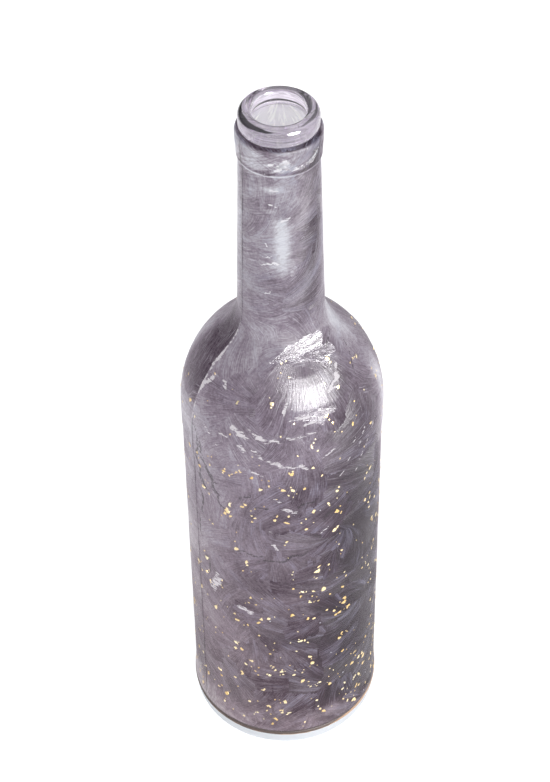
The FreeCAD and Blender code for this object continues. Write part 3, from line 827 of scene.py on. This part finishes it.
tilted = vectors("NORMALIZE", vectors("ADD", faces_out, laid))
ridges = sums(tree, "MULTIPLY", stroke, 0.6)
for pattern, strength in ((hair, 0.6), (speck, 0.12), (glint, 0.15), (scrape_and_glint, -0.3)):
    ridges = sums(tree, "MULTIPLY_ADD", pattern, strength, ridges)
smoothed = sums(tree, "MAXIMUM", kept_value("fan_gloss"), kept_value("glossy"))
bump = put(tree, "Bump", {"Height": ridges, "Strength": spread(tree, smoothed, 0.0, 1.0, 0.55, 0.30),
                          "Distance": 0.0004, "Normal": tilted})
tree.links.new(bump.outputs[0], shader.inputs["Normal"])

# The gilt line: a brushed line of copper-gold paint that closes the lower edge of the lacquer on the heel.
# It is thin and uneven. Its top and its left side are painted brown as shade, and it is painted bright copper
# lower down and towards the right as light.
GILT_LOW = 8.7
GILT_STAND = 0.42
GILT_BURIED = 0.02
GILT_ROUNDING = 0.2
GILT_AROUND = 360
# The brushed lower edge wanders: how far, how many waves go round, and the phase.
GILT_WAVES = [(0.10, 7, 0), (0.07, 17, 1), (0.05, 41, 2)]
GILT_SHADE_BROWN = (0.095, 0.060, 0.050, 1)
GILT_COPPER = (0.52, 0.34, 0.23, 1)
gilt_turns = np.linspace(-math.pi, math.pi, GILT_AROUND, False)
gilt_section = outline([
    (HEEL_RADIUS - GILT_BURIED, GILT_LOW, 0),
    (HEEL_RADIUS + GILT_STAND, GILT_LOW, GILT_ROUNDING),
    (HEEL_RADIUS + GILT_STAND, SKIN_LOW, GILT_ROUNDING),
    (HEEL_RADIUS - GILT_BURIED, SKIN_LOW, 0),
])
gilt_grid = rings(gilt_section, gilt_turns)
wander = sum(far * np.sin(waves * gilt_turns + phase) for far, waves, phase in GILT_WAVES)
gilt_grid[:len(gilt_section) // 2, :, 2] += np.abs(wander)[None] * MM
gilt = skin_over("copper_gilt_line", gilt_grid, True)
tree, shader = material(gilt, "worn_copper_gilt")
place = put(tree, "TexCoord").outputs["Object"]
spot = put(tree, "SeparateXYZ", {0: place})
# Painted light and shade: copper below an uneven edge that rises towards the right, brown as shade above and
# left of it.
wear_and_light = sums(tree, "SUBTRACT", grain(tree, place, 90.0, 4.0, 0.6), 0.5)
edge = spread(tree, spot.outputs["X"], 0.012, 0.032, 0.0091, 0.0108)
edge = sums(tree, "MULTIPLY_ADD", wear_and_light, 0.002, edge)
lit_share = spread(tree, sums(tree, "SUBTRACT", edge, spot.outputs["Z"]), -0.0002, 0.0003)
metal = blend(tree, lit_share, GILT_SHADE_BROWN, GILT_COPPER)
tree.links.new(metal, shader.inputs["Base Color"])
tree.links.new(spread(tree, lit_share, 0.0, 1.0, 0.5, 0.32), shader.inputs["Roughness"])
tree.links.new(spread(tree, lit_share, 0.0, 1.0, 0.1, 0.85), shader.inputs["Metallic"])
bump = put(tree, "Bump", {"Height": grain(tree, place, 500.0, 3.0), "Strength": 0.3, "Distance": 0.0004})
tree.links.new(bump.outputs[0], shader.inputs["Normal"])
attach(gilt, "root")
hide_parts("gilt_foot_line")

# Gold leaf: torn flakes of leaf pressed into the last coat while it was tacky. The larger ones lie where the
# solid flakes are, and smaller crumbs lie between them, thicker towards the foot and the right side.
FLAKE_COUNT = 1150
CLUSTER_SHARE = 0.45
CLUSTER_TURN = 0.06
CLUSTER_HEIGHT = 2.4
CRUMB_SIZE = 0.3
CRUMB_RANGE = 0.95
CRUMB_LOW = 13
CRUMB_RISE = 190
LEAF_LOW = 12.5
LEAF_HIGH = 206.0
LEAF_LIFT = 0.05
LEAF_THICKNESS = 0.16
LEAF_DEEP = (0.78, 0.54, 0.22, 1)
LEAF_PALE = (0.97, 0.86, 0.58, 1)
leaf_draw = np.random.default_rng(5)


def flake_seats():
    """Turn, height and size of each flake of the solid part, from its loose islands."""
    loose = bmesh.new()
    loose.from_mesh(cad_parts["gold_leaf_flakes"].data)
    bmesh.ops.remove_doubles(loose, verts=loose.verts, dist=1e-6)
    seats, seen = [], set()
    for start in loose.verts:
        if start in seen:
            continue
        island, queue = [], [start]
        seen.add(start)
        while queue:
            here = queue.pop()
            island.append(here.co.copy() / MM)
            for edge in here.link_edges:
                there = edge.other_vert(here)
                if there not in seen:
                    seen.add(there)
                    queue.append(there)
        middle = sum(island, Vector()) / len(island)
        size = max((corner - middle).length for corner in island)
        seats.append((math.atan2(middle.x, -middle.y), middle.z, size))
    loose.free()
    return seats


def flake_points(turn, level, size):
    """Corners of one ragged, slightly crumpled flake with a raised middle, and of its underside."""
    spot, normal, right, up = surface(turn, level)
    spot = spot + normal * LEAF_LIFT
    sides = leaf_draw.integers(5, 9)
    stretch = leaf_draw.uniform(1.0, 1.9)
    spin = leaf_draw.uniform(0, math.pi)
    long = right * math.cos(spin) + up * math.sin(spin)
    short = np.cross(normal, long)
    angles = (np.arange(sides) + leaf_draw.uniform(-0.3, 0.3, sides)) * 2 * math.pi / sides
    reach = size * leaf_draw.uniform(0.45, 1.25, sides)
    lift = leaf_draw.uniform(0.0, 0.10, sides) * size
    rim = spot + np.outer(reach * np.cos(angles), long) + np.outer(reach * np.sin(angles) / stretch, short)
    rim = rim + np.outer(lift * 0.5, normal)
    under = rim - np.outer(lift * 0.5 + LEAF_THICKNESS, normal)
    return np.vstack([rim, under, spot + normal * size * leaf_draw.uniform(0.04, 0.13)]), sides


seats = flake_seats()
while len(seats) < FLAKE_COUNT:
    size = CRUMB_SIZE + CRUMB_RANGE * leaf_draw.random() ** 2.2
    if leaf_draw.random() < CLUSTER_SHARE:
        near = seats[leaf_draw.integers(len(seats))]
        turn = near[0] + leaf_draw.normal(0, CLUSTER_TURN)
        level = near[1] + leaf_draw.normal(0, CLUSTER_HEIGHT)
    else:
        turn = leaf_draw.uniform(-math.pi, math.pi)
        level = CRUMB_LOW + CRUMB_RISE * leaf_draw.random() ** 1.35
        if leaf_draw.random() > 0.66 + 0.34 * math.sin(turn):
            continue
    if LEAF_LOW < level < LEAF_HIGH:
        seats.append((float(apart(turn, 0)), level, size))
points, faces = [], []
base = 0
for turn, level, size in seats:
    corners, sides = flake_points(turn, level, size)
    for i in range(sides):
        after = (i + 1) % sides
        faces.append((base + i, base + after, base + 2 * sides))
        faces.append((base + sides + i, base + sides + after, base + after, base + i))
    faces.append(tuple(base + sides + i for i in reversed(range(sides))))
    points.append(corners)
    base += len(corners)
leaf_mesh = bpy.data.meshes.new("gold_leaf")
leaf_mesh.from_pydata((np.vstack(points) * MM).tolist(), [], faces)
leaf = bpy.data.objects.new("gold_leaf", leaf_mesh)
bpy.context.scene.collection.objects.link(leaf)
tree, shader = material(leaf, "torn_gold_leaf")
place = put(tree, "TexCoord").outputs["Object"]
shift = grain(tree, place, 140.0, 2.0)
wrinkle = grain(tree, place, 1600.0, 3.0, 0.6)
gold = blend(tree, spread(tree, shift, 0.35, 0.65), LEAF_DEEP, LEAF_PALE)
tree.links.new(gold, shader.inputs["Base Color"])
tree.links.new(spread(tree, wrinkle, 0.3, 0.7, 0.25, 0.45), shader.inputs["Roughness"])
shader.inputs["Metallic"].default_value = 0.9
bump = put(tree, "Bump", {"Height": wrinkle, "Strength": 0.35, "Distance": 0.0003})
tree.links.new(bump.outputs[0], shader.inputs["Normal"])
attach(leaf, "root")
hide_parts("gold_leaf_flakes")

# The studio: a white lit table, soft light all round with one window to the right of the camera, and a dim
# corner to the left. The camera looks down on the bottle from the front.
TABLE_REACH = 3.0
TABLE_TOP = -0.0002
WINDOW_TURN = math.radians(39)
WINDOW_RISE = math.radians(23)
WINDOW_AWAY = 1.1
WINDOW_AIM = Vector((0, 0, 0.19))
BRIGHT_SIDE = math.radians(65)
CAMERA_PLACE = (0, -0.5407, 0.6999)
CAMERA_DOWN = math.radians(44.50)
CAMERA_LEFT = math.radians(0.276)
CAMERA_ROLL = math.radians(-0.846)
table = bpy.data.meshes.new("table")
corners = [(x * TABLE_REACH, y * TABLE_REACH, TABLE_TOP) for x, y in ((-1, -1), (1, -1), (1, 1), (-1, 1))]
table.from_pydata(corners, [], [(0, 1, 2, 3)])
floor = bpy.data.objects.new("table", table)
bpy.context.scene.collection.objects.link(floor)
tree, shader = material(floor, "white_table")
shader.inputs["Base Color"].default_value = (0.45, 0.45, 0.455, 1)
shader.inputs["Roughness"].default_value = 0.7
shader.inputs["Emission Color"].default_value = (1, 1, 1, 1)
shader.inputs["Emission Strength"].default_value = 0.76

world = bpy.data.worlds.new("studio")
bpy.context.scene.world = world
world.use_nodes = True
tree = world.node_tree
sky = tree.nodes["Background"]
ways = put(tree, "TexCoord").outputs["Generated"]
upward = put(tree, "SeparateXYZ", {0: ways}).outputs[2]
band = spread(tree, sums(tree, "ABSOLUTE", sums(tree, "SUBTRACT", upward, 0.12)), 0.14, 0.24, 1.0, 0.0)
bright_way = (math.sin(BRIGHT_SIDE), -math.cos(BRIGHT_SIDE), 0.0)
side = put(tree, "VectorMath", {0: ways, 1: bright_way}, operation="DOT_PRODUCT").outputs["Value"]
shade = sums(tree, "MULTIPLY", band, spread(tree, side, 0.15, 0.55, 1.0, 0.0))
tree.links.new(spread(tree, shade, 0.0, 1.0, 0.85, 0.04), sky.inputs["Strength"])
sky.inputs["Color"].default_value = (1.0, 1.0, 1.0, 1)

window = bpy.data.lights.new("window", "AREA")
window.energy = 76
window.shape = "DISK"
window.size = 0.60
lamp = bpy.data.objects.new("window", window)
bpy.context.scene.collection.objects.link(lamp)
lamp.visible_diffuse = False
lamp_way = Vector((math.sin(WINDOW_TURN) * math.cos(WINDOW_RISE),
                   -math.cos(WINDOW_TURN) * math.cos(WINDOW_RISE),
                   math.sin(WINDOW_RISE)))
lamp.location = WINDOW_AIM + lamp_way * WINDOW_AWAY
lamp.rotation_euler = (-lamp_way).to_track_quat("-Z", "Y").to_euler()

camera = bpy.data.cameras.new("camera")
camera.lens = 93.95
camera.sensor_width = 36.0
camera.shift_y = 0.0045
eye = bpy.data.objects.new("camera", camera)
bpy.context.scene.collection.objects.link(eye)
aim = Matrix.Rotation(CAMERA_LEFT, 4, "Z") @ Matrix.Rotation(math.pi / 2 - CAMERA_DOWN, 4, "X")
eye.matrix_world = Matrix.Translation(CAMERA_PLACE) @ aim @ Matrix.Rotation(CAMERA_ROLL, 4, "Z")
bpy.context.scene.camera = eye
bpy.context.scene.view_settings.view_transform = "Standard"
